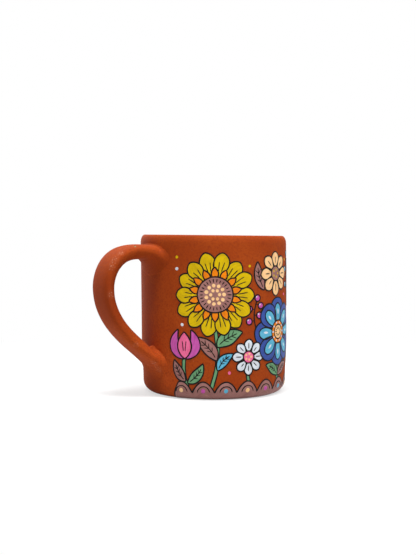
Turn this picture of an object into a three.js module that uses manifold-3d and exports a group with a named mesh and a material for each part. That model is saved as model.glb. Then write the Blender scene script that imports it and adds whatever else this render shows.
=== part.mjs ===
// A terracotta mug: a straight cup with a flat base and a round lip, and a pulled strap handle
// that is luted to the wall with clay slip at its root and at its toe.
// Millimetres, +Z up. The origin is the centre of the base, and the handle points along -X.

import * as THREE from 'three';
import { mergeVertices } from 'three/addons/utils/BufferGeometryUtils.js';
import Module from 'manifold-3d';

const wasm = await Module();
wasm.setup();

// Cup
const CUP_HEIGHT = 85.5;
const RIM_RADIUS = 40; // outside of the wall, carried up to the top of the lip
const FOOT_RADIUS = 39.7; // outside of the wall, carried down to the base
const WALL = 4.6;
const FLOOR = 5.5;
const HEEL_RADIUS = 6.9; // round edge between the base and the outside of the wall
const WELL_RADIUS = 5; // round corner between the floor and the inside of the wall

// Handle, along its centre line
const ROOT_DROP = 9.6; // from the rim down to where the centre line leaves the wall
const ROOT_PULL_OUT = 22.9; // how far the root carries on outwards before it bends
const ROOT_PULL_UP = 5.4; // how far it rises meanwhile
const BOW_REACH = 27.3; // from the rim's outside out to the bow, where the strap hangs straight down
const BOW_DROP = 27; // from the rim down to the bow
const BOW_PULL_UP = 6.3; // how sharply the strap bends above the bow
const BOW_PULL_DOWN = 25.5; // and below it
const TOE_HEIGHT = 10; // from the base up to the tip of the toe
const TOE_PULL = 13.4; // length over which the toe runs down the wall
const TOE_BURY = 0.8; // depth of the tip's skin behind the wall's face

// Handle, across its centre line
const STRAP_THICKNESS = 7.9;
const STRAP_WIDTH = 17.9;
const ROOT_WIDTH = 23.5;
const ROOT_TAPER = 45; // length over which the root narrows to the strap
const TOE_THICKNESS = 5.6;
const TOE_TAPER = 24; // length over which the strap thins to the toe
const TOE_WIDTH = 22.5;
const TOE_SPREAD = 12; // length over which the strap spreads to the toe's full width
const TOE_CLOSE = 13; // length over which the toe then closes to its round tip
const TIP_WIDTH = 9; // width left at the tip
const SECTION_SQUARENESS = 2.2; // 2 is an ellipse

// Slip joints
const SEAM = 0.3; // gap between two pieces of clay that meet
const SLIP_PAD = 0.6; // layer of slip between the strap's end and the wall
const SLIP_EDGE = 0.25; // thickness of the fillet's edge on the strap
const ROOT_FILLET_TOP = 1; // how far the fillets run over the wall and along the strap
const ROOT_FILLET_SIDE = 4;
const ROOT_FILLET_UNDER = 10;
const TOE_FILLET_OUTSIDE = 3.4;
const TOE_FILLET_SIDE = 3.4;
const TOE_FILLET_INSIDE = 1.4;
const ROOT_FULLNESS = 0; // 0 is a hollow fillet and 1 a straight one
const TOE_FULLNESS = 0.75;

// Turns round the strap's section, as cosines: 1 faces out of the bow, 0 is an edge and -1 faces the wall
const OUTER_SIDE = 0.62; // from here outwards the fillet has its outer size
const HOLLOW_SIDE = 0.8; // from here outwards it is hollow
const FULL_SIDE = -0.2; // and from here inwards it is as full as it gets

// Shares of the strap's length by which its two ends are clear of the wall
const ROOT_CLEAR = 0.3;
const TOE_CLEAR = 0.6;

// Fineness of the round surfaces
const TURN_SEGMENTS = 72;
const LIP_SEGMENTS = 10;
const HEEL_SEGMENTS = 7;
const WELL_SEGMENTS = 5;
const STRAP_STEPS = 36;
const STRAP_SIDES = 28;
const FILLET_SEGMENTS = 4;
const HALVINGS = 40; // of the search for the line where the strap leaves the wall

// Colours of the fired clay
const TERRACOTTA = 0xa04a2a;
const SLIP = 0xa85030;

const ACROSS = new THREE.Vector3(0, 1, 0);

// Outside radius of the wall at a height.
function wallRadius(z) {
  return THREE.MathUtils.lerp(FOOT_RADIUS, RIM_RADIUS, z / CUP_HEIGHT);
}

// Distance of a point outside the wall's face.
function offWall(point) {
  return Math.hypot(point.x, point.y) - wallRadius(point.z);
}

// The point at a distance outside the wall's face, from its place on the wall laid flat:
// x is the way round from the handle's plane, measured at the rim's radius, and y is the height.
function onWall(place, distance) {
  const angle = place.x / RIM_RADIUS;
  const radius = wallRadius(place.y) + distance;
  return new THREE.Vector3(-radius * Math.cos(angle), radius * Math.sin(angle), place.y);
}

function laidFlat(point) {
  return new THREE.Vector2(Math.atan2(point.y, -point.x) * RIM_RADIUS, point.z);
}

// Points of an arc, both ends included.
function arc(x, z, radius, from, to, segments) {
  const curve = new THREE.EllipseCurve(x, z, radius, radius, from, to, to < from);
  return curve.getPoints(segments);
}

// A body turned about +Z from a profile of radius and height.
function turned(profile) {
  return new THREE.LatheGeometry(profile, TURN_SEGMENTS).rotateX(Math.PI / 2);
}

// A closed body through rings of points, with both ends capped.
function lofted(rings) {
  const sides = rings[0].length;
  const last = (rings.length - 1) * sides;
  const index = [];
  for (let i = 0; i < last; i += sides) {
    for (let j = 0; j < sides; j++) {
      const a = i + j;
      const b = i + ((j + 1) % sides);
      index.push(a, b, a + sides, b, b + sides, a + sides);
    }
  }
  for (let j = 1; j < sides - 1; j++) {
    index.push(0, j + 1, j, last, last + j, last + j + 1);
  }
  const geometry = new THREE.BufferGeometry().setFromPoints(rings.flat());
  geometry.setIndex(index);
  return geometry;
}

// A closed geometry as a solid that can be cut and joined.
function solid(geometry) {
  const bare = geometry.clone().deleteAttribute('normal').deleteAttribute('uv');
  const merged = mergeVertices(bare, 1e-4);
  return new wasm.Manifold(
    new wasm.Mesh({
      numProp: 3,
      vertProperties: merged.attributes.position.array,
      triVerts: new Uint32Array(merged.index.array),
    }),
  );
}

function geometryOf(manifold) {
  const { vertProperties, triVerts } = manifold.getMesh();
  const geometry = new THREE.BufferGeometry();
  geometry.setAttribute('position', new THREE.BufferAttribute(vertProperties, 3));
  geometry.setIndex(new THREE.BufferAttribute(triVerts, 1));
  geometry.computeVertexNormals();
  return geometry;
}

// The cup: base, heel, wall, lip, well and floor in one closed profile.
function cupGeometry() {
  const quarter = Math.PI / 2;
  const lip = WALL / 2;
  const lipZ = CUP_HEIGHT - lip;
  const lipX = wallRadius(lipZ) - lip;
  const heelX = wallRadius(HEEL_RADIUS) - HEEL_RADIUS;
  const wellZ = FLOOR + WELL_RADIUS;
  const wellX = wallRadius(wellZ) - WALL - WELL_RADIUS;
  return turned([
    new THREE.Vector2(0, 0),
    ...arc(heelX, HEEL_RADIUS, HEEL_RADIUS, -quarter, 0, HEEL_SEGMENTS),
    ...arc(lipX, lipZ, lip, 0, Math.PI, LIP_SEGMENTS),
    ...arc(wellX, wellZ, WELL_RADIUS, 0, -quarter, WELL_SEGMENTS),
    new THREE.Vector2(0, FLOOR),
  ]);
}

// Everything within a distance of the wall's face, carried past the rim and the base.
function wallBlank(distance) {
  const low = -CUP_HEIGHT;
  const high = 2 * CUP_HEIGHT;
  return solid(
    turned([
      new THREE.Vector2(0, low),
      new THREE.Vector2(wallRadius(low) + distance, low),
      new THREE.Vector2(wallRadius(high) + distance, high),
      new THREE.Vector2(0, high),
    ]),
  );
}

// Centre line of the strap, in the XZ plane, from inside the wall at the root to the toe.
function strapPath() {
  const point = (x, z) => new THREE.Vector3(x, 0, z);
  const rootZ = CUP_HEIGHT - ROOT_DROP;
  const rootX = -wallRadius(rootZ);
  const bowZ = CUP_HEIGHT - BOW_DROP;
  const bowX = -(RIM_RADIUS + BOW_REACH);
  const toeX = -(wallRadius(TOE_HEIGHT) - TOE_THICKNESS / 2 - TOE_BURY);
  const root = point(rootX, rootZ);
  const bow = point(bowX, bowZ);
  const inside = point(rootX + WALL, rootZ - (WALL * ROOT_PULL_UP) / ROOT_PULL_OUT);
  const pulled = point(rootX - ROOT_PULL_OUT, rootZ + ROOT_PULL_UP);
  const path = new THREE.CurvePath();
  path.add(new THREE.LineCurve3(inside, root));
  path.add(new THREE.CubicBezierCurve3(root, pulled, point(bowX, bowZ + BOW_PULL_UP), bow));
  path.add(
    new THREE.CubicBezierCurve3(
      bow,
      point(bowX, bowZ - BOW_PULL_DOWN),
      point(toeX, TOE_HEIGHT + TOE_PULL),
      point(toeX, TOE_HEIGHT),
    ),
  );
  return path;
}

const STRAP_PATH = strapPath();
const STRAP_LENGTH = STRAP_PATH.getLength();

// Width of the strap at a distance from its tip: it spreads from its own width to the toe's, and closes.
function toeWidth(left, width) {
  const { smoothstep, lerp } = THREE.MathUtils;
  const spread = 1 - smoothstep(left, TOE_CLOSE, TOE_CLOSE + TOE_SPREAD);
  const closing = Math.max(0, 1 - left / TOE_CLOSE);
  const lost = 1 - (TIP_WIDTH / TOE_WIDTH) ** 2;
  return lerp(width, TOE_WIDTH, spread) * Math.sqrt(1 - lost * closing ** 2);
}

// A point of the strap's skin at a share of its length and an angle round its section,
// with the section grown all round.
function strapPoint(t, angle, grow) {
  const { smoothstep, lerp } = THREE.MathUtils;
  const run = t * STRAP_LENGTH;
  const root = 1 - smoothstep(run, 0, ROOT_TAPER);
  const toe = smoothstep(run, STRAP_LENGTH - TOE_TAPER, STRAP_LENGTH);
  const thickness = lerp(STRAP_THICKNESS, TOE_THICKNESS, toe);
  const width = toeWidth(STRAP_LENGTH - run, lerp(STRAP_WIDTH, ROOT_WIDTH, root));
  const rounded = (c) => Math.sign(c) * Math.abs(c) ** (2 / SECTION_SQUARENESS);
  const normal = new THREE.Vector3().crossVectors(ACROSS, STRAP_PATH.getTangentAt(t));
  return STRAP_PATH.getPointAt(t)
    .addScaledVector(normal, (thickness / 2 + grow) * rounded(Math.cos(angle)))
    .addScaledVector(ACROSS, (width / 2 + grow) * rounded(Math.sin(angle)));
}

const SIDE_ANGLES = Array.from({ length: STRAP_SIDES }, (_, j) => (2 * Math.PI * j) / STRAP_SIDES);

// The whole strap, with both ends inside the wall, grown all round.
function strap(grow) {
  const rings = [];
  for (let i = 0; i <= STRAP_STEPS; i++) {
    rings.push(SIDE_ANGLES.map((angle) => strapPoint(i / STRAP_STEPS, angle, grow)));
  }
  return solid(lofted(rings));
}

// Share of the strap's length where its skin leaves the wall, between a buried and a clear share.
function leavesWall(angle, buried, clear) {
  let [low, high] = [buried, clear];
  for (let i = 0; i < HALVINGS; i++) {
    const middle = (low + high) / 2;
    if (offWall(strapPoint(middle, angle, SEAM)) < SEAM) low = middle;
    else high = middle;
  }
  return low;
}

// A fillet's size round the strap, from its sizes on the strap's outer side, its edges and its inner side.
function filletSize([outer, edge, inner], angle) {
  const { smoothstep, lerp } = THREE.MathUtils;
  const turn = Math.cos(angle);
  return turn > 0 ? lerp(edge, outer, smoothstep(turn, 0, OUTER_SIDE)) : lerp(edge, inner, turn ** 2);
}

// The slip at one end of the strap: a thin pad on the wall, and a fillet that runs out over the wall
// and along the strap from the line where the two would meet.
function slipJoint(buried, clear, sizes, fullness) {
  const away = Math.sign(clear - buried) / STRAP_LENGTH;
  const leaves = SIDE_ANGLES.map((angle) => leavesWall(angle, buried, clear));
  const meets = leaves.map((t, j) => strapPoint(t, SIDE_ANGLES[j], SEAM));
  const flat = meets.map(laidFlat);
  const centre = new THREE.Box2().setFromPoints(flat).getCenter(new THREE.Vector2());
  const columns = SIDE_ANGLES.map((angle, j) => {
    const next = flat[(j + 1) % STRAP_SIDES];
    const along = next.clone().sub(flat.at(j - 1));
    const outward = new THREE.Vector2(along.y, -along.x).normalize();
    if (outward.dot(flat[j].clone().sub(centre)) < 0) outward.negate();
    const size = filletSize(sizes, angle);
    const foot = flat[j].clone().addScaledVector(outward, size);
    const low = onWall(foot, SEAM);
    const high = strapPoint(leaves[j] + away * size, angle, SEAM + SLIP_EDGE);
    const full = fullness * (1 - THREE.MathUtils.smoothstep(Math.cos(angle), FULL_SIDE, HOLLOW_SIDE));
    const bend = low.clone().lerp(high, 0.5).lerp(meets[j], 1 - full);
    const fillet = new THREE.QuadraticBezierCurve3(low, bend, high);
    return [onWall(foot, -WALL / 2), ...fillet.getPoints(FILLET_SEGMENTS)];
  });
  const rings = columns[0].map((_, i) => columns.map((column) => column[i]));
  if (buried > clear) rings.reverse();
  const strapRoom = strap(SEAM).subtract(wallBlank(SEAM + SLIP_PAD));
  return solid(lofted(rings)).subtract(wallBlank(SEAM)).subtract(strapRoom);
}

// A named piece of bare fired clay.
function piece(name, geometry, color) {
  const clay = new THREE.MeshStandardMaterial({ color, roughness: 0.62, metalness: 0 });
  const mesh = new THREE.Mesh(geometry, clay);
  mesh.name = name;
  return mesh;
}

const handle = strap(0).subtract(wallBlank(SEAM + SLIP_PAD + SEAM));
const rootSizes = [ROOT_FILLET_TOP, ROOT_FILLET_SIDE, ROOT_FILLET_UNDER];
const toeSizes = [TOE_FILLET_OUTSIDE, TOE_FILLET_SIDE, TOE_FILLET_INSIDE];
const upperJoint = slipJoint(0, ROOT_CLEAR, rootSizes, ROOT_FULLNESS);
const lowerJoint = slipJoint(1, TOE_CLEAR, toeSizes, TOE_FULLNESS);

const mug = new THREE.Group();
mug.add(piece('cup', cupGeometry(), TERRACOTTA));
mug.add(piece('handle', geometryOf(handle), TERRACOTTA));
mug.add(piece('upper_slip_joint', geometryOf(upperJoint), SLIP));
mug.add(piece('lower_slip_joint', geometryOf(lowerJoint), SLIP));

export default mug;
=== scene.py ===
import math
import random

import bmesh
import bpy
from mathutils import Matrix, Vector, kdtree, noise


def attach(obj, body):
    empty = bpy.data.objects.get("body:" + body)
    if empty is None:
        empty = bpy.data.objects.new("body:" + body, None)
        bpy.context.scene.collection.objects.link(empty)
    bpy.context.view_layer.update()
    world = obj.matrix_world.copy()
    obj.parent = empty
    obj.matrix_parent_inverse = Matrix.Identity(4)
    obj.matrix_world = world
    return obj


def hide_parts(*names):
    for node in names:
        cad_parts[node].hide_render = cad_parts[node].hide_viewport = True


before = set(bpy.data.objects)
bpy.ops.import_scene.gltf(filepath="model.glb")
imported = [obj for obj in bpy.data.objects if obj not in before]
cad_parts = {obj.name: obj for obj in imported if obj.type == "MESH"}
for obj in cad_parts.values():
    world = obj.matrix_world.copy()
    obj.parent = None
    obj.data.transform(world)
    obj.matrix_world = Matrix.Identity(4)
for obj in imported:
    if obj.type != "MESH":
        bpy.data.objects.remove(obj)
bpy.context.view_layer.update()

MM = 0.001

# Cup, in millimetres
CUP_HEIGHT = 85.5
RIM_RADIUS = 40.0
FOOT_RADIUS = 39.7
FOOT_DRAW = 0.7  # how far the wall draws in to the heel, and the height above the heel over which it does
FOOT_DRAW_HEIGHT = 21.0
WALL = 4.6
FLOOR = 5.5
HEEL_RADIUS = 6.5
WELL_RADIUS = 5.0
LIP_DEPTH = 4.4  # height over which the lip rounds off on its outer side
BASE_HOLLOW = 0.25  # the middle of the base stands clear, so the mug sits on its edge
UNEVEN = 0.1  # how far a hand-turned wall strays from round
UNEVEN_SWELLS = 1.4  # how often it strays on the way round, and the height over which that changes
UNEVEN_HEIGHT = 42.0
LEAN = 0.006  # the wall leans a little towards the handle's side, as a slope
RIM_TILT = 0.0099  # the rim rises towards the same side, as a slope
RIM_TILT_DEPTH = 14.0  # the stretch below the rim that is trimmed on that slope
MIDDLE_RADIUS = 0.4  # of the small round that closes the base and the floor
BASE_RINGS = (20.0, 27.0)  # radii of the rings on the base's hollow
BASE_EDGE = 29.5  # radius at which the hollow ends
FLOOR_RINGS = (24.0, 12.0)
HEEL_STEPS = 12
WALL_STEPS = 26
LIP_STEPS = (12, 9)  # over its outer side and its inner side
WELL_STEPS = 8

# Handle, in millimetres, along its centre line and across it. The line is two curves that meet at the
# bow, and each pull is how far a curve is drawn on from its end.
ROOT_DROP = 10.0  # depth of the root's middle under the rim
ROOT_PULL_OUT = 22.9
ROOT_PULL_UP = 6.7
BOW_REACH = 27.1
BOW_DROP = 27.0
BOW_PULL_UP = 5.6
BOW_PULL_DOWN = 26.9
TOE_HEIGHT = 10.0
TOE_PULL = 14.1
TOE_BURY = 0.2  # how deep the toe's tip ends in the wall
STRAP_THICKNESS = 7.9
STRAP_WIDTH = 17.9
ROOT_WIDTH = 23.5
ROOT_TAPER = 45.0  # length over which the strap narrows from the root
TOE_THICKNESS = 5.6
TOE_WIDTH = 22.5
TOE_TAPER = 30.0  # length over which the strap thins to the toe
TOE_SPREAD = 19.0  # length over which it spreads to the toe's full width
TOE_CLOSE = 13.0  # length over which the toe closes to its round tip
TOE_TIP = 0.35  # width left at the very tip, as a share
OUTER_SQUARENESS = 2.9  # of the section's outer half, where 2 is an ellipse
INNER_SQUARENESS = 1.9
TOE_SQUARENESS = 2.2
STRAP_UNEVEN = 0.13  # how far a hand-pulled strap strays from true
STRAP_SWELLS = 1.3  # how often it strays on the way round, and the length of each stray
STRAP_SWELL_LENGTH = 11.0
RIDGE = 0.34  # share of the thickness that lies outside the ridge along each edge of the strap
ROOT_RIDGE = 0.58  # the same share at the wall, and the length over which it changes
RIDGE_RISE = 16.0
RIDGE_LEAN = 0.55  # how far the section follows its ridge out, as a share
ROOT_FLARE = 1.9  # how much the strap thickens downwards where it meets the wall, and over what length
ROOT_FLARE_LENGTH = 6.0
STRAP_START = 2.4  # where the strap begins on its line, inside the wall
STRAP_STEPS = 300  # points on each of the three stretches of its line

# Slip joints, in millimetres
ROOT_FILLET = (1.4, 3.6, 6.0)  # its run on the strap's outer side, on its edges and on its inner side
TOE_FILLET = (4.5, 3.4, 2.6)
ROOT_FULLNESS = (0.4, 0.3, 0.1)  # at the same three places: 0 is hollow, 1 straight and more is full
TOE_FULLNESS = (0.0, 1.15, 1.15)
TOE_DAB = (192.0, 0.9, 8.0)  # a dab of slip over the toe: its turn in degrees, its reach and its spread
ROOT_CLEAR = 0.3  # shares of the strap's length at which it is well clear of the wall
TOE_CLEAR = 0.6
OUTER_ROUNDING = 1.6  # how soon the outer side's values take over from the edges' ones
SLIP_EDGE = 0.03  # depth of the fillet's edges in the clay, so that they show no step
SLIP_DEPTH = 0.9  # depth of its underside
SLIP_TUCK = 0.4  # how far its underside goes on into the wall along the strap
SLIP_BACK = 0.6  # how far its underside stays back from the edge on the wall
HALVINGS = 30  # of the search for the place where the strap leaves the wall

# Camera, from the photograph, in millimetres and degrees
CAMERA_PLACE = (-291.5, -460.5, 85.0)
CAMERA_HEADING = 32.0  # right of +Y
CAMERA_PITCH = 2.4  # down
CAMERA_LENS = 64.1
CAMERA_SENSOR = 36.0  # its long side


def mix(a, b, t):
    return a + (b - a) * t


def smooth(t):
    t = min(max(t, 0.0), 1.0)
    return t * t * (3 - 2 * t)


# Clay surfaces

def wall_radius(z):
    """Radius of the wall's outer face, before the lip rounds it off."""
    drawn = FOOT_DRAW * (1 - smooth((z - HEEL_RADIUS) / FOOT_DRAW_HEIGHT))
    return mix(FOOT_RADIUS, RIM_RADIUS, z / CUP_HEIGHT) - drawn


def lip_inset(z):
    """How far the lip's rounding draws the outer face in at a height."""
    over = min(max(0.0, 1 - (CUP_HEIGHT - z) / LIP_DEPTH), 1.0)
    return WALL / 2 * (1 - math.sqrt(1 - over ** 2))


def uneven(angle, z):
    """How far the hand-turned wall stands out at an angle and a height."""
    across, along = UNEVEN_SWELLS * math.cos(angle), UNEVEN_SWELLS * math.sin(angle)
    return UNEVEN * noise.noise(Vector((across, along, z / UNEVEN_HEIGHT)))


HEADING = math.radians(CAMERA_HEADING)
RIGHT = Vector((math.cos(HEADING), -math.sin(HEADING), 0.0))  # across the photograph


def settle(p):
    """A point of the upright mug, in millimetres, with the lean that it dried with, in metres."""
    return (p - RIGHT * LEAN * (p.z - CUP_HEIGHT / 2)) * MM


def rim_tilt(p):
    """How far the trimmed rim stands up at a point near it."""
    right = p.x * math.cos(HEADING) - p.y * math.sin(HEADING)
    return -RIM_TILT * right * smooth(1 - (CUP_HEIGHT - p.z) / RIM_TILT_DEPTH)


def arc(x, z, width, height, start, end, steps):
    """Points of an upright ellipse's arc, from its two half axes and the turns of its ends in degrees."""
    turns = [math.radians(mix(start, end, i / steps)) for i in range(steps + 1)]
    return [(x + width * math.cos(a), z + height * math.sin(a)) for a in turns]


def straight(a, b, steps):
    """Points between two ends, both left out."""
    shares = [i / steps for i in range(1, steps)]
    return [(mix(a[0], b[0], t), mix(a[1], b[1], t)) for t in shares]


def cup_profile():
    """The cup's section as radius and height, from the middle of the base to the middle of the floor."""
    lip = WALL / 2
    lip_x = RIM_RADIUS - lip
    well_z = FLOOR + WELL_RADIUS
    well_x = wall_radius(well_z) - WALL - WELL_RADIUS
    heel_x = wall_radius(HEEL_RADIUS) - HEEL_RADIUS
    heel = arc(heel_x, HEEL_RADIUS, HEEL_RADIUS, HEEL_RADIUS, -90, 0, HEEL_STEPS)
    rim = arc(lip_x, CUP_HEIGHT - LIP_DEPTH, lip, LIP_DEPTH, 0, 90, LIP_STEPS[0])
    rim += arc(lip_x, CUP_HEIGHT - lip, lip, lip, 90, 180, LIP_STEPS[1])[1:]
    well = arc(well_x, well_z, WELL_RADIUS, WELL_RADIUS, 0, -90, WELL_STEPS)
    shares = [i / WALL_STEPS for i in range(1, WALL_STEPS)]
    heights = [mix(HEEL_RADIUS, CUP_HEIGHT - LIP_DEPTH, t) for t in shares]
    base = [(radius, BASE_HOLLOW) for radius in (MIDDLE_RADIUS, *BASE_RINGS)]
    floor = [(radius, FLOOR) for radius in (*FLOOR_RINGS, MIDDLE_RADIUS)]
    return [
        *base,
        (BASE_EDGE, 0.0),
        *heel,
        *[(wall_radius(z), z) for z in heights],
        *rim,
        *straight(rim[-1], well[0], WALL_STEPS),
        *well,
        *floor,
    ]


def cup_mesh(sides=168):
    """Rings of the profile turned about the cup's axis, closed at both ends."""
    verts = []
    for radius, z in cup_profile():
        for j in range(sides):
            angle = 2 * math.pi * j / sides
            r = radius + uneven(angle, z) * smooth(radius / FOOT_RADIUS)
            p = Vector((r * math.cos(angle), r * math.sin(angle), z))
            p.z += rim_tilt(p)
            verts.append(settle(p))
    return verts, tube_faces(len(verts) // sides, sides)


def tube_faces(rings, sides, capped=True):
    """Faces over rings of points; without caps the last ring joins the first."""
    faces = []
    for i in range(rings - 1 if capped else rings):
        for j in range(sides):
            k = (j + 1) % sides
            low, high = i * sides, (i + 1) % rings * sides
            faces.append((low + j, low + k, high + k, high + j))
    if capped:
        faces.append(tuple(reversed(range(sides))))
        faces.append(tuple(range((rings - 1) * sides, rings * sides)))
    return faces


def bezier(points, t):
    """A place on a curve, from its end points and the points that pull it."""
    while len(points) > 1:
        points = [a.lerp(b, t) for a, b in zip(points, points[1:])]
    return points[0]


def lengths_along(points):
    """The length of a run of straight lines up to each of its points."""
    lengths = [0.0]
    for a, b in zip(points, points[1:]):
        lengths.append(lengths[-1] + (b - a).length)
    return lengths


def strap_line():
    """Close points of the strap's centre line, in the plane of the handle, with the length up to each."""
    root_z = CUP_HEIGHT - ROOT_DROP
    root = Vector((-wall_radius(root_z), root_z))
    inside = root + Vector((WALL, -WALL * ROOT_PULL_UP / ROOT_PULL_OUT))
    bow = Vector((-RIM_RADIUS - BOW_REACH, CUP_HEIGHT - BOW_DROP))
    toe = Vector((TOE_THICKNESS / 2 + TOE_BURY - wall_radius(TOE_HEIGHT), TOE_HEIGHT))
    upper = [root, root + Vector((-ROOT_PULL_OUT, ROOT_PULL_UP)), bow + Vector((0, BOW_PULL_UP)), bow]
    lower = [bow, bow - Vector((0, BOW_PULL_DOWN)), toe + Vector((0, TOE_PULL)), toe]
    points = [inside]
    for part in ([inside, root], upper, lower):
        points += [bezier(part, i / STRAP_STEPS) for i in range(1, STRAP_STEPS + 1)]
    return points, lengths_along(points)


STRAP_POINTS, STRAP_LENGTHS = strap_line()
STRAP_LENGTH = STRAP_LENGTHS[-1]


def strap_place(run):
    """Centre and direction of the strap at a length along it."""
    low, high = 0, len(STRAP_LENGTHS) - 1
    while high - low > 1:
        middle = (low + high) // 2
        if STRAP_LENGTHS[middle] <= run:
            low = middle
        else:
            high = middle
    a, b = STRAP_POINTS[low], STRAP_POINTS[high]
    share = (run - STRAP_LENGTHS[low]) / (STRAP_LENGTHS[high] - STRAP_LENGTHS[low])
    return a.lerp(b, min(max(share, 0.0), 1.0)), (b - a).normalized()


def rounded(c, squareness):
    """A cosine or sine for a section between an ellipse and a rectangle."""
    return math.copysign(abs(c) ** (2 / squareness), c)


def strap_point(run, angle, grow=0.0):
    """A point of the strap's skin, in millimetres. Angle 0 is the outer side of the bow."""
    centre, along = strap_place(run)
    root = 1 - smooth(run / ROOT_TAPER)
    toe = smooth((run - STRAP_LENGTH + TOE_TAPER) / TOE_TAPER)
    thickness = mix(STRAP_THICKNESS, TOE_THICKNESS, toe)
    width = mix(STRAP_WIDTH, ROOT_WIDTH, root)
    left = STRAP_LENGTH - run
    width = mix(width, TOE_WIDTH, smooth((TOE_SPREAD + TOE_CLOSE - left) / TOE_SPREAD))
    closing = max(0.0, 1 - left / TOE_CLOSE)
    width *= math.sqrt(1 - (1 - TOE_TIP ** 2) * closing ** 2)
    flare = ROOT_FLARE * max(0.0, 1 - max(0.0, run - WALL) / ROOT_FLARE_LENGTH) ** 2
    thickness += flare
    ridge = mix(ROOT_RIDGE, RIDGE, smooth((run - WALL) / RIDGE_RISE))
    outer = math.cos(angle) > 0
    squareness = mix(OUTER_SQUARENESS if outer else INNER_SQUARENESS, TOE_SQUARENESS, toe)
    out = (thickness * (ridge if outer else 1 - ridge) + grow) * rounded(math.cos(angle), squareness)
    out += RIDGE_LEAN * thickness * (0.5 - ridge) - flare / 2
    side = (width / 2 + grow) * rounded(math.sin(angle), squareness)
    pulled = STRAP_SWELLS * math.cos(angle), STRAP_SWELLS * math.sin(angle), run / STRAP_SWELL_LENGTH
    out += STRAP_UNEVEN * noise.noise(Vector(pulled)) * math.cos(angle)
    return Vector((centre.x + along.y * out, side, centre.y - along.x * out))


def off_wall(p):
    """How far a point stands off the wall's outer face, less than 0 inside it."""
    angle = math.atan2(p.y, p.x)
    return math.hypot(p.x, p.y) - wall_radius(p.z) - uneven(angle, p.z)


def on_wall(place, distance):
    """A point near the wall's face from the way round from the handle and the height, in millimetres."""
    angle = place.x / RIM_RADIUS
    radius = wall_radius(place.y) - lip_inset(place.y) + uneven(math.pi + angle, place.y) + distance
    return Vector((-radius * math.cos(angle), -radius * math.sin(angle), place.y))


def laid_flat(p):
    """The place on the wall laid flat that a point is over."""
    return Vector((math.atan2(-p.y, -p.x) * RIM_RADIUS, p.z))


def handle_mesh(steps=150, sides=80):
    verts = []
    for i in range(steps + 1):
        run = mix(STRAP_START, STRAP_LENGTH, i / steps)
        for j in range(sides):
            verts.append(settle(strap_point(run, 2 * math.pi * j / sides)))
    return verts, tube_faces(steps + 1, sides)


def leaves_wall(angle, buried, clear):
    """Length along the strap where its skin comes out of the wall."""
    low, high = buried, clear
    for _ in range(HALVINGS):
        middle = (low + high) / 2
        if off_wall(strap_point(middle, angle)) < 0:
            low = middle
        else:
            high = middle
    return low


def round_strap(values, angle):
    """A value at an angle round the strap, from those on its outer side, its edges and its inner side."""
    outer, edge, inner = values
    turn = math.cos(angle)
    if turn > 0:
        return mix(edge, outer, smooth(OUTER_ROUNDING * turn))
    return mix(edge, inner, turn * turn)


def joint_mesh(buried, clear, sizes, fullness, dab=None, sides=120, steps=10):
    """The slip's fillet round one end of the strap: a closed ring, sunk into the strap and the wall."""
    angles = [2 * math.pi * j / sides for j in range(sides)]
    leaves = [leaves_wall(a, buried, clear) for a in angles]
    meets = [strap_point(run, a) for run, a in zip(leaves, angles)]
    flat = [laid_flat(p) for p in meets]
    across, up = [p.x for p in flat], [p.y for p in flat]
    centre = Vector((min(across) + max(across), min(up) + max(up))) / 2
    rise = math.copysign(1, clear - buried)
    columns = []
    for j, angle in enumerate(angles):
        along = flat[(j + 1) % sides] - flat[j - 1]
        outward = Vector((along.y, -along.x)).normalized()
        if outward.dot(flat[j] - centre) < 0:
            outward = -outward
        size = round_strap(sizes, angle)
        if dab:
            turn, reach, spread = dab
            size += reach * math.exp(-(((math.degrees(angle) - turn) / spread) ** 2))
        foot = flat[j] + outward * size
        top_run = leaves[j] + rise * size
        low = on_wall(foot, -SLIP_EDGE)
        high = strap_point(top_run, angle, -SLIP_EDGE)
        curve = [low, meets[j].lerp((low + high) / 2, round_strap(fullness, angle)), high]
        column = [bezier(curve, i / steps) for i in range(steps + 1)]
        column.append(strap_point(top_run, angle, -SLIP_DEPTH))
        column.append(strap_point(leaves[j] - rise * SLIP_TUCK, angle, -SLIP_DEPTH))
        column.append(on_wall(foot - outward * SLIP_BACK, -SLIP_DEPTH))
        columns.append([settle(p) for p in column])
    if rise < 0:
        columns.reverse()  # so that the faces look out at the toe as well
    rings = len(columns[0])
    verts = [columns[j][i] for i in range(rings) for j in range(sides)]
    return verts, tube_faces(rings, sides, capped=False)


# Materials

def linear(hex_colour):
    """An sRGB hex colour as the linear colour that shaders take."""
    parts = [int(hex_colour[i : i + 2], 16) / 255 for i in (1, 3, 5)]
    return tuple(c / 12.92 if c <= 0.04045 else ((c + 0.055) / 1.055) ** 2.4 for c in parts) + (1.0,)


def add(tree, kind, settings=None, inputs=()):
    """A shader node with its settings. Its inputs, by name or in order, are values or outputs to link."""
    made = tree.nodes.new("ShaderNode" + kind)
    for name, value in (settings or {}).items():
        setattr(made, name, value)
    pairs = inputs.items() if isinstance(inputs, dict) else enumerate(inputs)
    for key, value in pairs:
        if isinstance(value, bpy.types.NodeSocket):
            tree.links.new(value, made.inputs[key])
        else:
            made.inputs[key].default_value = value
    return made


# A Mix node for colours: its setting, the places of the two among its inputs, and of the mixed one
COLOURED = {"data_type": "RGBA"}
FIRST = 6
SECOND = 7
MIXED = 2


def blank(name):
    material = bpy.data.materials.new(name)
    material.use_nodes = True
    material.node_tree.nodes.clear()
    return material, material.node_tree


def per(size):
    """Pattern scale, in metres, for a feature of a size in millimetres."""
    return 1 / (size * MM)


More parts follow.
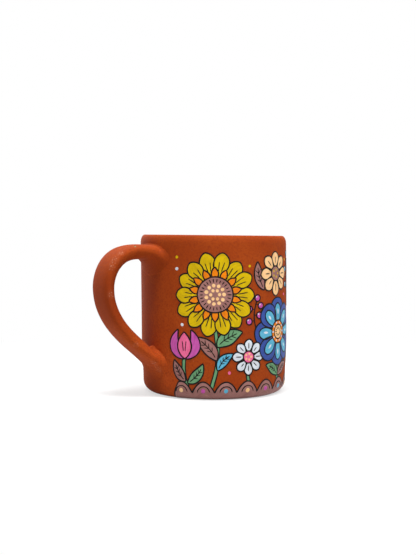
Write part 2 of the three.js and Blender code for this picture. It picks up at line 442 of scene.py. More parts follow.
def surfaced(tree, colour, dullness, relief, bump, ior, gloss):
    """The end of a material: a shader with its colour, its dullness and its relief."""
    strength, depth = bump
    raised = add(tree, "Bump", None, {"Height": relief, "Strength": strength, "Distance": depth * MM})
    shader = add(
        tree,
        "BsdfPrincipled",
        None,
        {
            "Base Color": colour,
            "Roughness": dullness,
            "IOR": ior,
            "Specular IOR Level": gloss,
            "Normal": raised.outputs[0],
        },
    )
    add(tree, "OutputMaterial", None, {"Surface": shader.outputs[0]})


# Red earthenware fired bare, and smoothed by hand while damp. The eye sees a warm brick red with soft
# paler and browner clouds, a fine grit with pale specks of lime and grog and a few dark ones of iron, and
# a dull sheen. The real grit is near 0.2 mm; it is drawn at 1 mm so that it shows.
CLAY_DEEP = "#993b0d"
CLAY_PALE = "#a34412"
CLAY_GRIT = "#823010"
CLAY_SPECK = "#d39a7c"
CLAY_IRON = "#5a2210"
# Colours of the painted light and of the painted shade, used for the patches listed below
CLAY_PAINTED_LIGHT = "#aa4615"
CLAY_PAINTED_SHADE = "#8f360d"
CLOUD_SIZE = 17.0  # this and the other sizes are in millimetres
CLOUD_DETAIL = 4.0
CLOUD_RANGE = (0.36, 0.66)  # values of the pattern where the clay is deep and where it is pale
GRIT_SIZE = 1.0
GRIT_DETAIL = 3.0
GRIT_RANGE = (0.44, 0.72, 0.0, 0.7)  # low and high values of the pattern, and how much shows at each
GRIT_BUMP = (0.22, 0.12)  # strength, and depth in millimetres
SPECK = (2.6, 0.17, 0.55)  # of the pale specks: spacing, radius and the share of places that have one
IRON_SPECK = (4.4, 0.32, 0.6)
SPECK_COVER = 0.7  # how much of the clay's colour a speck hides
SCUFF_LENGTH = 0.8
SCUFF_DETAIL = 5.0
SCUFF_RANGE = (0.55, 0.72, 0.04, 0.75)
SPOT_CORE = 0.25  # share of the reach of a patch of painted light or shade, or of a scuff, over which it is full
CLAY_DULLNESS = (0.3, 0.7, 0.72, 0.82)  # low and high values of the clouds, and the roughness at each
CLAY_IOR = 1.5
CLAY_GLOSS = 0.09  # matched to the photograph, as is the paint's

# Painted light, a brighter patch over the toe, and painted shade, browner patches on the strap's bow and
# the heel, matched to the shading; each with its reach in millimetres
PAINTED_LIGHT_SPOTS = [
    ((-42.0, -11.0, 15.0), 24.0),
]
PAINTED_SHADE_SPOTS = [
    ((-67.0, -5.0, 53.0), 27.0),
    ((-38.0, 0.0, 2.0), 15.0),
]

# Places where the strap's ridge is rubbed pale: length along it and turn round it in degrees, and reach
SCUFFS = [
    (25.0, -40.0, 3.0),
    (29.0, -46.0, 3.6),
    (32.5, -50.0, 3.0),
    (46.0, -96.0, 3.0),
    (76.0, -70.0, 2.4),
    (91.0, -48.0, 3.2),
    (95.5, -52.0, 3.2),
    (30.0, 60.0, 4.0),
    (60.0, 80.0, 4.0),
]


def near_any(tree, place, spots):
    """How near the surface comes to any of some points in metres, each with its reach in millimetres."""
    near = None
    for middle, reach in spots:
        far = add(tree, "VectorMath", {"operation": "DISTANCE"}, (place, middle))
        ends = far.outputs["Value"], reach * MM, SPOT_CORE * reach * MM
        here = add(tree, "MapRange", {"interpolation_type": "SMOOTHSTEP"}, ends)
        if near:
            here = add(tree, "Math", {"operation": "MAXIMUM"}, (near.outputs[0], here.outputs[0]))
        near = here
    return near.outputs[0]


def speckled(tree, place, body, form, hex_colour):
    """A colour with specks of another in it."""
    spacing, radius, share = form
    cells = add(tree, "TexVoronoi", None, {"Vector": place, "Scale": per(spacing)})
    ends = cells.outputs["Distance"], radius / spacing, 0.0, 0.0, SPECK_COVER
    speck = add(tree, "MapRange", None, ends)
    lot = add(tree, "SeparateColor", None, (cells.outputs["Color"],))
    chosen = add(tree, "Math", {"operation": "GREATER_THAN"}, (lot.outputs[0], 1 - share))
    shown = add(tree, "Math", {"operation": "MULTIPLY"}, (speck.outputs[0], chosen.outputs[0]))
    colours = {0: shown.outputs[0], FIRST: body, SECOND: linear(hex_colour)}
    return add(tree, "Mix", COLOURED, colours).outputs[MIXED]


def bare_earthenware():
    material, tree = blank("earthenware_terracotta_fired_bare")
    place = add(tree, "TexCoord").outputs["Object"]
    clouds = {"Vector": place, "Scale": per(CLOUD_SIZE), "Detail": CLOUD_DETAIL}
    cloud = add(tree, "TexNoise", None, clouds).outputs[0]
    grains = {"Vector": place, "Scale": per(GRIT_SIZE), "Detail": GRIT_DETAIL}
    grit = add(tree, "TexNoise", None, grains).outputs[0]
    spread = add(tree, "MapRange", None, (cloud, *CLOUD_RANGE)).outputs[0]
    colours = {0: spread, FIRST: linear(CLAY_DEEP), SECOND: linear(CLAY_PALE)}
    body = add(tree, "Mix", COLOURED, colours).outputs[MIXED]
    # Painted light over the toe and painted shade on the strap's bow and the heel, mixed into the clay's
    # colour
    for spots, hex_colour in ((PAINTED_LIGHT_SPOTS, CLAY_PAINTED_LIGHT), (PAINTED_SHADE_SPOTS, CLAY_PAINTED_SHADE)):
        flame = near_any(tree, place, [(Vector(middle) * MM, reach) for middle, reach in spots])
        colours = {0: flame, FIRST: body, SECOND: linear(hex_colour)}
        body = add(tree, "Mix", COLOURED, colours).outputs[MIXED]
    shown = add(tree, "MapRange", None, (grit, *GRIT_RANGE)).outputs[0]
    colours = {0: shown, FIRST: body, SECOND: linear(CLAY_GRIT)}
    gritty = add(tree, "Mix", COLOURED, colours).outputs[MIXED]
    pale = speckled(tree, place, gritty, SPECK, CLAY_SPECK)
    dark = speckled(tree, place, pale, IRON_SPECK, CLAY_IRON)
    ridges = [(settle(strap_point(run, math.radians(turn))), reach) for run, turn, reach in SCUFFS]
    near = near_any(tree, place, ridges)
    rubs = {"Vector": place, "Scale": per(SCUFF_LENGTH), "Detail": SCUFF_DETAIL}
    rub = add(tree, "TexNoise", None, rubs).outputs[0]
    rubbed = add(tree, "MapRange", None, (rub, *SCUFF_RANGE)).outputs[0]
    scuff = add(tree, "Math", {"operation": "MULTIPLY"}, (near, rubbed)).outputs[0]
    colours = {0: scuff, FIRST: dark, SECOND: linear(CLAY_SPECK)}
    worn = add(tree, "Mix", COLOURED, colours).outputs[MIXED]
    dullness = add(tree, "MapRange", None, (cloud, *CLAY_DULLNESS)).outputs[0]
    surfaced(tree, worn, dullness, grit, GRIT_BUMP, CLAY_IOR, CLAY_GLOSS)
    return material


# Acrylic craft paint brushed on by hand over fired clay. It dries to a satin film that shows the
# brush's hairs as long streaks and the coat's uneven cover as soft patches, darker where it is thin.
# A brush's hairs are near 0.1 mm; their streaks are drawn at 0.8 mm so that they show.
STREAK_WIDTH = 0.8
STREAK_LENGTH = 11.0
STREAK_DETAIL = 3.0
STREAK_BUMP = (0.25, 0.06)
PATCH_SIZE = 5.0
PATCH_DETAIL = 2.0
THIN_RANGE = (0.85, 1.3)  # streaks and patches added up, where the coat is full and where it is thin
PAINT_DULLNESS = (0.3, 0.7, 0.42, 0.58)  # low and high values of the streaks, and the roughness at each
PAINT_IOR = 1.48
PAINT_GLOSS = 0.12


def brushed_acrylic(name, hex_colour, thin_hex):
    material, tree = blank("acrylic_brushed_" + name)
    along = add(tree, "UVMap", {"uv_map": "brush"}).outputs[0]
    hair = (1 / STREAK_LENGTH, 1 / STREAK_WIDTH, 1.0)
    hairs = add(tree, "VectorMath", {"operation": "MULTIPLY"}, (along, hair)).outputs[0]
    streaks = {"Vector": hairs, "Scale": 1.0, "Detail": STREAK_DETAIL}
    streak = add(tree, "TexNoise", None, streaks).outputs[0]
    patches = {"Vector": along, "Scale": 1 / PATCH_SIZE, "Detail": PATCH_DETAIL}
    patch = add(tree, "TexNoise", None, patches).outputs[0]
    cover = add(tree, "Math", {"operation": "ADD"}, (streak, patch)).outputs[0]
    thin = add(tree, "MapRange", None, (cover, *THIN_RANGE)).outputs[0]
    colours = {0: thin, FIRST: linear(hex_colour), SECOND: linear(thin_hex)}
    colour = add(tree, "Mix", COLOURED, colours).outputs[MIXED]
    dullness = add(tree, "MapRange", None, (streak, *PAINT_DULLNESS)).outputs[0]
    surfaced(tree, colour, dullness, streak, STREAK_BUMP, PAINT_IOR, PAINT_GLOSS)
    return material


# Making pieces

def placed(name, mesh, material):
    verts, faces = mesh
    data = bpy.data.meshes.new(name)
    data.from_pydata(verts, [], faces)
    data.validate()
    data.polygons.foreach_set("use_smooth", [True] * len(data.polygons))
    data.materials.append(material)
    made = bpy.data.objects.new(name, data)
    bpy.context.scene.collection.objects.link(made)
    return made


def piece(name, mesh, material, body="root"):
    made = placed(name, mesh, material)
    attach(made, body)
    return made


clay = bare_earthenware()
cup = piece("cup_body", cup_mesh(), clay)
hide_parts("cup")
handle = piece("strap_handle", handle_mesh(), clay)
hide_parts("handle")
root_slip = joint_mesh(0.0, ROOT_CLEAR * STRAP_LENGTH, ROOT_FILLET, ROOT_FULLNESS)
upper = piece("root_slip_fillet", root_slip, clay)
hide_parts("upper_slip_joint")
toe_slip = joint_mesh(STRAP_LENGTH, TOE_CLEAR * STRAP_LENGTH, TOE_FILLET, TOE_FULLNESS, TOE_DAB)
lower = piece("toe_slip_fillet", toe_slip, clay)
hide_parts("lower_slip_joint")


# Paint on the wall. The wall is laid out flat: x runs round it from the handle's plane towards the front,
# and y runs up it and on down over the heel, both in millimetres.
FILM = 0.035  # lift of the lowest coat of paint
COAT = 0.03  # lift that each coat over it adds
LINE_LIFT = 0.015  # lift of a pen line over the coat that it is drawn on, under the next coat
SUNK = 0.2  # depth of a film's underside in the clay
WEAVE = 1.5  # widest gap between a film's points, so that it follows the round wall
LINE_WIDTH = 0.75
THIN_LINE = 0.6  # widths of the pen's lighter strokes
FINE_LINE = 0.55
VEIN_LINE = 0.5
HAIR_LINE = 0.45
LINE_STEP = 0.7
LINE_PRESS = 0.22  # how much a line swells and thins, and over what length
PRESS_LENGTH = 3.0
LINE_END = 0.35  # width of a line's end, as a share
HAND_STRAY = 0.28  # how far the hand strays, and over what length
HAND_LENGTH = 7.0
SWAY_LAYER = 2.0  # layers of the noise, one for each of the hand's movements
RISE_LAYER = 9.0
PRESS_LAYER = 5.0
PEN_SHIFT = Vector((0.1, -0.08))  # the pen never follows the brush exactly
LEAST_HALF = 0.04  # half width of a brushed shape's tip
BLADE_STEPS = 16
BAND_STEPS = 32
SPINE_STEP = 0.02  # share of a spine on each side of a place that gives its direction there
BRUSH_START = 900  # how far apart the streaks of two strokes may start
FILM_CREASE = 35  # degrees between two faces of a film above which their edge is sharp

films = {}
taken = []


def skin(place, lift):
    """A point off the wall, in metres, over a place on the wall laid flat."""
    turn = place.x / RIM_RADIUS
    lean = min(max(0.0, 1 - place.y / HEEL_RADIUS), math.pi / 2)
    z = place.y if lean == 0 else HEEL_RADIUS * (1 - math.sin(lean))
    radius = wall_radius(z) - HEEL_RADIUS * (1 - math.cos(lean))
    radius += uneven(math.pi + turn, z) * smooth(radius / FOOT_RADIUS) + lift * math.cos(lean)
    p = Vector((-radius * math.cos(turn), -radius * math.sin(turn), z - lift * math.sin(lean)))
    p.z += rim_tilt(p)
    return settle(p)


def strap_skin(place, lift):
    """The same over the strap, from the length along it and the way round it, in millimetres."""
    return settle(strap_point(place.x, place.y / STRAP_THICKNESS, lift))


def astray(place):
    """Where an unsteady hand puts a place."""
    at = place / HAND_LENGTH
    sway = noise.noise(Vector((at.x, at.y, SWAY_LAYER)))
    rise = noise.noise(Vector((at.x, at.y, RISE_LAYER)))
    return place + HAND_STRAY * Vector((sway, rise))


def film(colour, rows, lift, closed=False, surface=skin):
    """Rows of places across a stroke as a closed film of paint, with its underside sunk in the clay."""
    verts, faces, brush = films.setdefault(colour, ([], [], []))
    sides = len(rows[0]) + 2
    faces += [tuple(len(verts) + k for k in face) for face in tube_faces(len(rows), sides, not closed)]
    start = Vector((random.uniform(0, BRUSH_START), random.uniform(0, BRUSH_START)))
    run = 0.0
    for row, before in zip(rows, rows[:1] + rows):
        run += (row[0] + row[-1] - before[0] - before[-1]).length / 2
        ring = [(p, lift) for p in row] + [(row[-1], -SUNK), (row[0], -SUNK)]
        for p, height in ring:
            verts.append(surface(astray(p), height))
            brush.append(start + Vector((run, (p - row[0]).length)))
        taken.extend((row[0], row[len(row) // 2], row[-1]))


def daub(colour, edges, level, surface=skin):
    """A brushed shape between two edges. The level is how many coats lie under it."""
    columns = max(2, math.ceil(max((a - b).length for a, b in zip(*edges)) / WEAVE))
    rows = [[a.lerp(b, k / columns) for k in range(columns + 1)] for a, b in zip(*edges)]
    film(colour, rows, FILM + COAT * level, surface=surface)


def evenly(points, step):
    """Points along a run of straight lines, all as far apart."""
    lengths = lengths_along(points)
    count = max(3, round(lengths[-1] / step))
    spaced = []
    k = 0
    for i in range(count + 1):
        run = lengths[-1] * i / count
        while k < len(lengths) - 2 and lengths[k + 1] < run:
            k += 1
        share = (run - lengths[k]) / max(lengths[k + 1] - lengths[k], 1e-9)
        spaced.append(points[k].lerp(points[k + 1], share))
    return spaced


def pen(points, level, closed=False, width=LINE_WIDTH):
    """A paint-pen line along points, with round ends where it doesn't close."""
    line = evenly(points + points[:1], LINE_STEP)[:-1] if closed else evenly(points, LINE_STEP)
    last = len(line) - 1
    rows = []
    for i, p in enumerate(line):
        ahead = line[(i + 1) % len(line)] if closed or i < last else p
        behind = line[i - 1] if closed or i else p
        along = (ahead - behind).normalized()
        pressed = Vector((p.x / PRESS_LENGTH, p.y / PRESS_LENGTH, PRESS_LAYER))
        press = 1 + LINE_PRESS * noise.noise(pressed)
        half = width / 2 * press * (1.0 if closed or 0 < i < last else LINE_END)
        side = along.orthogonal() * half
        rows.append([p + PEN_SHIFT + side, p + PEN_SHIFT - side])
    film("black", rows, FILM + COAT * level + LINE_LIFT, closed)


# Shapes that the brush makes, each as its two edges

def ribbon(spine, shares, halves):
    """Edges about a curved spine, from shares of its length and the half width at each."""
    left, right = [], []
    for t, half in zip(shares, halves):
        along = (bezier(spine, t + SPINE_STEP) - bezier(spine, t - SPINE_STEP)).normalized()
        side = along.orthogonal() * half
        left.append(bezier(spine, t) + side)
        right.append(bezier(spine, t) - side)
    return left, right


def blade(spine, width, belly, bluntness):
    """A petal or a leaf about a curved spine. Belly above 1 puts its widest place nearer the tip."""
    shares = [(1 - math.cos(math.pi * i / BLADE_STEPS)) / 2 for i in range(BLADE_STEPS + 1)]
    halves = [width / 2 * abs(math.sin(math.pi * t**belly)) ** bluntness for t in shares]
    return ribbon(spine, shares, [max(half, LEAST_HALF) for half in halves])


def band(spine, width):
    """A stem of even width about a curved spine."""
    shares = [i / BAND_STEPS for i in range(BAND_STEPS + 1)]
    return ribbon(spine, shares, [width / 2] * len(shares))


def disc(centre, radius):
    turns = [math.pi * i / BLADE_STEPS for i in range(BLADE_STEPS + 1)]
    upper = [Vector((-math.cos(a) * radius, max(math.sin(a) * radius, LEAST_HALF))) for a in turns]
    return [centre + p for p in upper], [centre + Vector((p.x, -p.y)) for p in upper]


def outlined(colour, edges, level):
    """A brushed shape with a pen line round it."""
    daub(colour, edges, level)
    left, right = edges
    pen(left + right[::-1], level, closed=True)


# Flowers and leaves of the painted garden

POINTED = (0.95, 0.95)  # belly and bluntness of each form of petal or leaf
ROUND = (1.5, 0.6)
BROAD = (1.35, 0.45)
GLINT = (1.0, 0.7)
CUPPED = (0.9, 0.8)
UPRIGHT = (0.85, 0.8)
LEAFY = (0.85, 0.85)

PETAL_STRAY = 0.06  # how far a petal turns from its even place, as a share of the gap to the next
PETAL_REACH = (0.96, 1.03)
CORE_REACH = 0.78  # of a petal's core: its reach and width as shares, and the part of a coat it lies over
CORE_WIDTH = 0.5
CORE_COAT = 0.7
VEIN_GAP = 0.17  # half the gap between two veins, as a share of the petal's width
VEIN_CLOSING = 0.5  # what is left of that gap at the veins' roots
VEIN_ROOT = 0.3  # where a vein starts and ends, as shares of the petal's length
VEIN_TIP = (0.6, 0.74)
RAY_REACH = (0.9, 1.0)


def petals(centre, count, inner, outer, width, colour, level, form=ROUND, core=None, veins=0, start=0.0):
    """A ring of petals, every other one over its neighbours, with a core of another colour or veins."""
    for i in range(count):
        turn = 2 * math.pi * (i + start + random.uniform(-PETAL_STRAY, PETAL_STRAY)) / count
        along = Vector((math.cos(turn), math.sin(turn)))
        across = along.orthogonal()
        reach = outer * random.uniform(*PETAL_REACH)
        tier = level + i % 2
        foot = centre + along * inner
        outlined(colour, blade([foot, centre + along * reach], width, *form), tier)
        if core:
            tip = centre + along * mix(inner, reach, CORE_REACH)
            outlined(core, blade([foot, tip], width * CORE_WIDTH, *form), tier + CORE_COAT)
        for k in range(veins):
            off = across * width * VEIN_GAP * (2 * k - veins + 1)
            root = centre + along * mix(inner, reach, VEIN_ROOT) + off * VEIN_CLOSING
            tip = centre + along * mix(inner, reach, random.uniform(*VEIN_TIP)) + off
            pen([root, tip], tier, width=VEIN_LINE)


def around(count):
    """Directions to all sides, evenly."""
    turns = [2 * math.pi * i / count for i in range(count)]
    return [Vector((math.cos(a), math.sin(a))) for a in turns]


def dots(centre, count, radius, size, colour, level):
    for along in around(count):
        daub(colour, disc(centre + along * radius, size), level)


def rays(centre, count, inner, outer, level):
    for along in around(count):
        tip = centre + along * outer * random.uniform(*RAY_REACH)
        pen([centre + along * inner, tip], level, width=FINE_LINE)


def sun_bloom(centre, reach, outer, flame, heart, seed):
    petals(centre, 14, 0.36 * reach, reach, 0.38 * reach, outer, 4, veins=2)
    petals(centre, 14, 0.34 * reach, 0.66 * reach, 0.17 * reach, flame, 6, POINTED, start=0.5)
    outlined(heart, disc(centre, 0.43 * reach), 8)
    rays(centre, 26, 0.29 * reach, 0.4 * reach, 8)
    dots(centre, 11, 0.22 * reach, 0.95, seed, 9)
    dots(centre, 6, 0.11 * reach, 0.85, seed, 9)


def cup_bloom(centre, reach, outer, core, rim, heart):
    petals(centre, 8, 0.24 * reach, reach, 0.68 * reach, outer, 4, BROAD, core)
    for along in around(8):
        glint = [centre + along * reach * 0.5, centre + along * reach * 0.66]
        daub("white", blade(glint, 1.2, *GLINT), 6.5)
    outlined(rim, disc(centre, 0.33 * reach), 7)
    outlined(heart, disc(centre, 0.21 * reach), 8)
    dots(centre, 10, 0.27 * reach, 0.55, "white", 8)
    rays(centre, 12, 0.07 * reach, 0.16 * reach, 8)


def dahlia(centre, reach, outer, middle, inner, heart):
    petals(centre, 12, 0.35 * reach, reach, 0.43 * reach, outer, 3, BROAD, veins=1)
    petals(centre, 10, 0.22 * reach, 0.7 * reach, 0.36 * reach, middle, 5, BROAD, veins=1)
    petals(centre, 8, 0.08 * reach, 0.43 * reach, 0.28 * reach, inner, 7, BROAD)
    outlined(heart, disc(centre, 0.17 * reach), 9)
    rays(centre, 10, 0.06 * reach, 0.13 * reach, 9)


def daisy(centre, reach, petal, heart, seed):
    petals(centre, 8, 0.22 * reach, reach, 0.52 * reach, petal, 4, ROUND, veins=1)
    outlined(heart, disc(centre, 0.33 * reach), 6)
    dots(centre, 5, 0.17 * reach, 0.6, seed, 7)


def tulip(base, height, side, middle):
    for way in (-1, 1):
        bow = base + Vector((way * 0.62 * height, 0.3 * height))
        tip = base + Vector((way * 0.24 * height, height))
        outlined(side, blade([base, bow, tip], 0.4 * height, *CUPPED), 4)
    tip = base + Vector((0, 0.92 * height))
    outlined(middle, blade([base, tip], 0.52 * height, *UPRIGHT), 5)
    for off in (-0.07, 0.07):
        root = base + Vector((0.5 * off * height, 0.25 * height))
        pen([root, base + Vector((off * height, 0.6 * height))], 5, width=VEIN_LINE)


STEM_WIDTH = 1.9
MIDRIB_PLACES = [t / 10 for t in range(1, 9)]  # shares of a leaf's length
RIB_PLACES = (0.3, 0.45, 0.6)  # where the ribs leave the midrib, as such shares
RIB_RUN = 0.13  # how far along the midrib each goes, as a share of that length
RIB_REACH = 0.26  # and how far to the side, as a share of the leaf's width
TWIG_STEPS = 12
TWIG_COAT = 1.5
TWIG_BACK = 0.05  # share of a twig before a place that gives its direction there
BERRY_START = 0.35  # share of a twig's length at which its berries start
BERRY_STALK = 1.9  # in radii of a berry
BERRY_GLINT = (Vector((-0.3, 0.35)), 0.24)  # place and radius of the glint on a berry, in its radii


def stem(points, colour):
    edges = band([Vector(p) for p in points], STEM_WIDTH)
    daub(colour, edges, 1)
    for edge in edges:
        pen(edge, 1, width=THIN_LINE)


def leaf(base, tip, bend, width, colour):
    """A leaf with a midrib and ribs. Its bend is how far its spine is pulled to the left of straight."""
    base, tip = Vector(base), Vector(tip)
    along = tip - base
    spine = [base, (base + tip) / 2 + along.orthogonal().normalized() * bend, tip]
    outlined(colour, blade(spine, width, *LEAFY), 2)
    pen([bezier(spine, t) for t in MIDRIB_PLACES], 2, width=FINE_LINE)
    for t in RIB_PLACES:
        root = bezier(spine, t)
        rib = bezier(spine, t + RIB_RUN) - root
        side = rib.orthogonal().normalized() * width * RIB_REACH
        for tip in (root + rib + side, root + rib - side):
            pen([root, tip], 2, width=HAIR_LINE)


def sprig(points, count, size, colour):
    """A thin twig with a berry at its end and others in turn on its two sides."""
    spine = [Vector(p) for p in points]
    pen([bezier(spine, i / TWIG_STEPS) for i in range(TWIG_STEPS + 1)], TWIG_COAT)
    for i in range(count):
        t = mix(BERRY_START, 1.0, i / (count - 1))
        p = bezier(spine, t)
        along = (p - bezier(spine, t - TWIG_BACK)).normalized()
        way = along.orthogonal() * (0 if i == count - 1 else (-1) ** i * size * BERRY_STALK)
        pen([p, p + way], TWIG_COAT, width=VEIN_LINE)
        outlined(colour, disc(p + way, size), 3)
        place, share = BERRY_GLINT
        daub("white", disc(p + way + place * size, size * share), 4)


SCALLOP = 12.2  # width of one scallop of the ground, in millimetres
SCALLOPS = 17
GROUND_START = 16.0
GROUND_RISE = 4.0  # where two scallops meet
SCALLOP_HEIGHT = 6.0
SCALLOP_STEPS = 14
SCALLOP_BLUNTNESS = 0.75
GROUND_FOOT = -2.0  # the ground's lower edge, under the turn of the heel
GROUND_END = 0.35  # share of a scallop over which the ground rises at its two ends
LEAST_RISE = 0.02  # keeps its two ends from closing to nothing, as a share and in millimetres
LEAST_HEIGHT = 0.3
INNER_ARC = (3.4, 3.2)  # half width and height of the line inside each scallop
INNER_STEPS = 12
INNER_RISE = 0.4  # height of that line's foot over the place where two scallops meet
PEBBLE = (0.7, 1.15)  # of the dot inside it: its height over that line's foot, and its radius
PEBBLE_COLOURS = ("peach", "pink", "sky")


def ground():
    """Scalloped ground along the foot of the wall."""
    steps = SCALLOPS * SCALLOP_STEPS
    top, foot = [], []
    for i in range(steps + 1):
        share = i / steps * SCALLOPS
        x = GROUND_START + share * SCALLOP
        ends = min(1.0, share / GROUND_END + LEAST_RISE, (SCALLOPS - share) / GROUND_END + LEAST_RISE)
        height = GROUND_RISE + SCALLOP_HEIGHT * abs(math.sin(math.pi * share)) ** SCALLOP_BLUNTNESS
        top.append(Vector((x, mix(GROUND_FOOT + LEAST_HEIGHT, height, math.sqrt(ends)))))
        foot.append(Vector((x, GROUND_FOOT)))
    daub("mauve", (top, foot), 3)
    pen(top, 3)
    for i in range(SCALLOPS):
        middle = Vector((GROUND_START + (i + 0.5) * SCALLOP, GROUND_RISE + INNER_RISE))
        line = [middle + Vector(p) for p in arc(0, 0, *INNER_ARC, 0, 180, INNER_STEPS)]
        pen(line, 3, width=THIN_LINE)
        lift, radius = PEBBLE
        daub(PEBBLE_COLOURS[i % len(PEBBLE_COLOURS)], disc(middle + Vector((0, lift)), radius), 4)


# Places of the motifs on the wall laid flat
STEMS = [
    [(41, 36), (44, 22), (39, 7)],
    [(81, 18), (80, 12), (82, 7)],
    [(116, 42), (122, 24), (117, 7)],
    [(158, 22), (156, 13), (159, 7)],
    [(196, 38), (190, 22), (195, 7)],
    [(24.5, 24), (22.5, 15), (26, 7)],
    [(59, 16), (58, 12), (60, 7)],
    [(105, 18), (103, 12), (106, 7)],
    [(133, 16), (135, 12), (132, 7)],
    [(181, 20), (183, 13), (180, 7)],
    [(213, 20), (215, 14), (212, 7)],
]

LEAVES = [
    ((42, 28), (55.5, 35.5), 3.0, 7.5, "green"),
    ((41.5, 21), (30.5, 33), -3.0, 7.0, "mauve"),
    ((42, 16), (50.5, 24.5), 2.5, 5.5, "sky"),
    ((25, 10), (18.5, 21), 2.5, 5.5, "mauve"),
    ((26, 9), (34.5, 19.5), -2.5, 5.5, "green"),
    ((81, 11), (70.5, 17.5), -2.5, 5.5, "green"),
    ((81.5, 11), (93, 17), 2.5, 5.5, "mauve"),
    ((69, 57), (64.5, 72), 2.5, 6.0, "mauve"),
    ((118.5, 28), (108.5, 37.5), -3.0, 7.0, "green"),
    ((119, 23), (127.5, 37.5), 3.0, 7.0, "mauve"),
    ((105, 9), (97.5, 20), 2.0, 5.0, "green"),
    ((157, 12), (146.5, 18), -2.5, 5.5, "green"),
    ((158, 12), (169, 18), 2.5, 5.5, "mauve"),
    ((138, 62), (134.5, 75), 2.0, 4.5, "green"),
    ((155, 64), (162.5, 74), -2.5, 6.0, "mauve"),
    ((192.5, 25), (183, 36.5), -3.0, 7.0, "green"),
    ((192, 20), (201.5, 33), 3.0, 7.0, "mauve"),
    ((214, 12), (222, 20.5), 2.0, 5.5, "sky"),
    ((212, 33), (219, 45), -3.0, 7.0, "mauve"),
]

SPRIGS = [
    ([(64, 36), (60.5, 43), (64.5, 53)], 5, 1.7, "pink"),
    ([(96, 52), (93.5, 62), (95.5, 76)], 5, 1.6, "sky"),
    ([(134, 33), (132.5, 40), (135.5, 50)], 4, 1.5, "rose"),
    ([(171, 57), (169.5, 66), (174, 77)], 5, 1.7, "pink"),
    ([(224, 46), (220, 60), (223, 73)], 7, 1.8, "mustard"),
]

BLOOMS = [
    (sun_bloom, (41, 55), 21.5, ("mustard", "orange", "mauve", "peach")),
    (cup_bloom, (81, 34.5), 18.5, ("navy", "sky", "orange", "peach")),
    (dahlia, (116, 58), 19.0, ("pink", "lilac", "rose", "mustard")),
    (sun_bloom, (158, 40), 19.5, ("orange", "mustard", "navy", "white")),
    (cup_bloom, (196, 55), 18.5, ("sky", "white", "lilac", "mustard")),
    (daisy, (78.5, 65.5), 12.0, ("peach", "mauve", "mustard")),
    (daisy, (59, 22.5), 9.5, ("white", "rose", "peach")),
    (daisy, (133, 22), 9.0, ("white", "mustard", "orange")),
    (daisy, (147, 68.5), 9.5, ("lilac", "mustard", "white")),
    (daisy, (213, 25), 10.0, ("peach", "orange", "white")),
    (tulip, (24.5, 22), 15.0, ("pink", "rose")),
    (tulip, (105, 15.5), 15.0, ("mustard", "orange")),
    (tulip, (181, 15), 14.0, ("sky", "navy")),
]


def garden():
    ground()
    for points in STEMS:
        stem(points, "green")
    for place in LEAVES:
        leaf(*place)
    for place in SPRIGS:
        sprig(*place)
    for flower, centre, reach, colours in BLOOMS:
        flower(Vector(centre), reach, *colours)


# Small dots in what is left of the wall between the motifs
DOTS = 64
DOT_TRIES = 2560
DOT_CLEAR = 3.1  # least distance from any other paint, and from another dot
DOT_GAP = 6.0
DOT_AROUND = (20, 222)  # the stretch of the wall that may have them
DOT_UP = (14, 75)
DOT_RADIUS = (0.65, 0.95)
DOT_COLOURS = ("white", "mustard", "rose", "sky")


def scatter():
    near = kdtree.KDTree(len(taken))
    for i, p in enumerate(taken):
        near.insert((p.x, p.y, 0), i)
    near.balance()
    free = []
    for _ in range(DOT_TRIES):
        p = Vector((random.uniform(*DOT_AROUND), random.uniform(*DOT_UP)))
        if len(free) < DOTS and near.find((p.x, p.y, 0))[2] > DOT_CLEAR:
            if all((p - q).length > DOT_GAP for q in free):
                free.append(p)
    for i, p in enumerate(free):
        daub(DOT_COLOURS[i % len(DOT_COLOURS)], disc(p, random.uniform(*DOT_RADIUS)), 1)


# Each paint's colour, and its colour where the coat is thin
ACRYLICS = {
    "mustard": ("#d6b500", "#bd9d06"),
    "orange": ("#ee8408", "#d87310"),
    "navy": ("#3c54a0", "#304489"),
    "sky": ("#63b4d2", "#469dc0"),
    "pink": ("#c85aab", "#b04895"),
    "rose": ("#ee6f9c", "#d85a87"),
    "mauve": ("#a0716b", "#8c605a"),
    "peach": ("#f7ca93", "#ebb87e"),
    "white": ("#dce3ea", "#c9ccd4"),
    "green": ("#6ea174", "#5a8b62"),
    "lilac": ("#c894c2", "#b480af"),
    "black": ("#120f0e", "#1d1816"),
}


def painted(name, material):
    """One colour's films as a piece, with the way of the brush as its map."""
    verts, faces, brush = films[name]
    made = piece("paint_" + name, (verts, faces), material)
    data = made.data
    shell = bmesh.new()
    shell.from_mesh(data)
    bmesh.ops.recalc_face_normals(shell, faces=shell.faces)
    shell.to_mesh(data)
    shell.free()
    data.set_sharp_from_angle(angle=math.radians(FILM_CREASE))
    way = data.uv_layers.new(name="brush")
    for loop in data.loops:
        way.data[loop.index].uv = brush[loop.vertex_index]


# A fleck that fell on the strap: its length along it and its way round it, and its radius
FLECK = (Vector((17.6, -6.2)), 0.5)

random.seed(11)
garden()
scatter()
daub("green", disc(*FLECK), 1, strap_skin)
for name, (hex_colour, thin_hex) in ACRYLICS.items():
    painted(name, brushed_acrylic(name, hex_colour, thin_hex))


# Floor, light and camera

# White paper, which the camera sees as plain white a little way off. Less of its light goes to the mug.
PAPER_SEEN = "#ffffff"
PAPER_BOUNCE = "#d0d0d0"
PAPER_SIZE = 3.0
PAPER_FADE = (0.1, 0.3, 0.6)  # metres between which it turns plain white, and the share of white before


def in_view(tree):
    """1 for what the camera sees, straight, mirrored or through glass, and 0 for what lights the mug."""
    path = add(tree, "LightPath").outputs
    seen = path["Is Camera Ray"]
    for ray in ("Is Glossy Ray", "Is Transmission Ray"):
        seen = add(tree, "Math", {"operation": "MAXIMUM"}, (seen, path[ray])).outputs[0]
    return seen


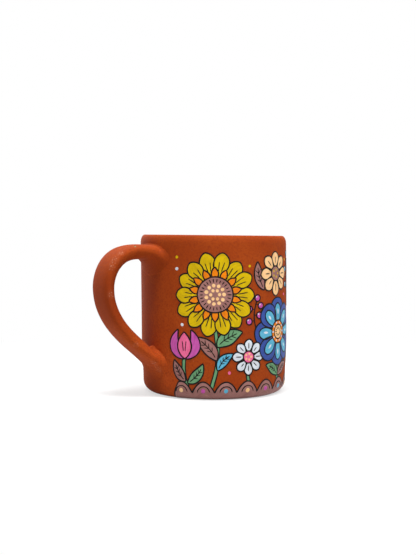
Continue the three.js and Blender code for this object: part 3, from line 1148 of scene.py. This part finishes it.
def studio_floor():
    material, tree = blank("paper_sweep_white")
    seen = in_view(tree)
    colours = {0: seen, FIRST: linear(PAPER_BOUNCE), SECOND: linear(PAPER_SEEN)}
    paper = add(tree, "Mix", COLOURED, colours).outputs[MIXED]
    lit = add(tree, "BsdfDiffuse", None, {"Color": paper}).outputs[0]
    place = add(tree, "TexCoord").outputs["Object"]
    far = add(tree, "VectorMath", {"operation": "LENGTH"}, (place,)).outputs["Value"]
    fade = add(tree, "MapRange", {"interpolation_type": "SMOOTHSTEP"}, (far, *PAPER_FADE)).outputs[0]
    white = add(tree, "Emission", None, {"Color": linear(PAPER_SEEN), "Strength": 1.0}).outputs[0]
    glow = add(tree, "Math", {"operation": "MULTIPLY"}, (fade, seen)).outputs[0]
    shade = add(tree, "MixShader", None, (glow, lit, white)).outputs[0]
    add(tree, "OutputMaterial", None, {"Surface": shade})
    h = PAPER_SIZE / 2
    corners = [(-h, -h, 0), (h, -h, 0), (h, h, 0), (-h, h, 0)]
    floor = placed("paper_floor", (corners, [(0, 1, 2, 3)]), material)


# Each softbox: its turn to the camera's right and its rise in degrees, its watts, its width in metres
SOFTBOXES = [
    ("overhead_softbox", 0, 90, 1.6, 0.8),
    ("high_front_softbox", -15, 70, 7.0, 0.3),
    ("high_right_softbox", 45, 54, 5.4, 0.3),
    ("high_back_left_softbox", -135, 55, 2.5, 0.8),
    ("low_back_left_softbox", -135, 20, 3.0, 0.8),
    ("high_back_right_softbox", 135, 55, 1.2, 0.8),
]
SOFTBOX_DISTANCE = 1.0
ROOM_LIGHT = 0.23  # what the white room sends back from all round
LIT_POINT = (0.0, 0.0, 0.045)


def studio_light():
    scene = bpy.context.scene
    scene.view_settings.view_transform = "Standard"
    world = bpy.data.worlds.new("studio")
    scene.world = world
    world.use_nodes = True
    tree = world.node_tree
    tree.nodes.clear()
    room = add(tree, "Background", None, {"Color": linear("#ffffff"), "Strength": ROOM_LIGHT})
    white = add(tree, "Background", None, {"Color": linear("#ffffff"), "Strength": 1.0})
    both = add(tree, "MixShader", None, (in_view(tree), room.outputs[0], white.outputs[0]))
    add(tree, "OutputWorld", None, {"Surface": both.outputs[0]})
    for name, turn, rise, energy, size in SOFTBOXES:
        lamp = bpy.data.lights.new(name, "AREA")
        lamp.shape = "SQUARE"
        lamp.size = size
        lamp.energy = energy
        box = bpy.data.objects.new(name, lamp)
        heading = math.radians(180 + CAMERA_HEADING - turn)
        level, up = math.cos(math.radians(rise)), math.sin(math.radians(rise))
        towards = Vector((math.sin(heading) * level, math.cos(heading) * level, up))
        box.location = Vector(LIT_POINT) + towards * SOFTBOX_DISTANCE
        box.rotation_euler = towards.to_track_quat("Z", "Y").to_euler()
        scene.collection.objects.link(box)


def photograph_camera():
    data = bpy.data.cameras.new("camera")
    data.lens = CAMERA_LENS
    data.sensor_width = CAMERA_SENSOR
    camera = bpy.data.objects.new("camera", data)
    camera.location = Vector(CAMERA_PLACE) * MM
    camera.rotation_euler = (math.radians(90 - CAMERA_PITCH), 0, -HEADING)
    bpy.context.scene.collection.objects.link(camera)
    bpy.context.scene.camera = camera


studio_floor()
studio_light()
photograph_camera()
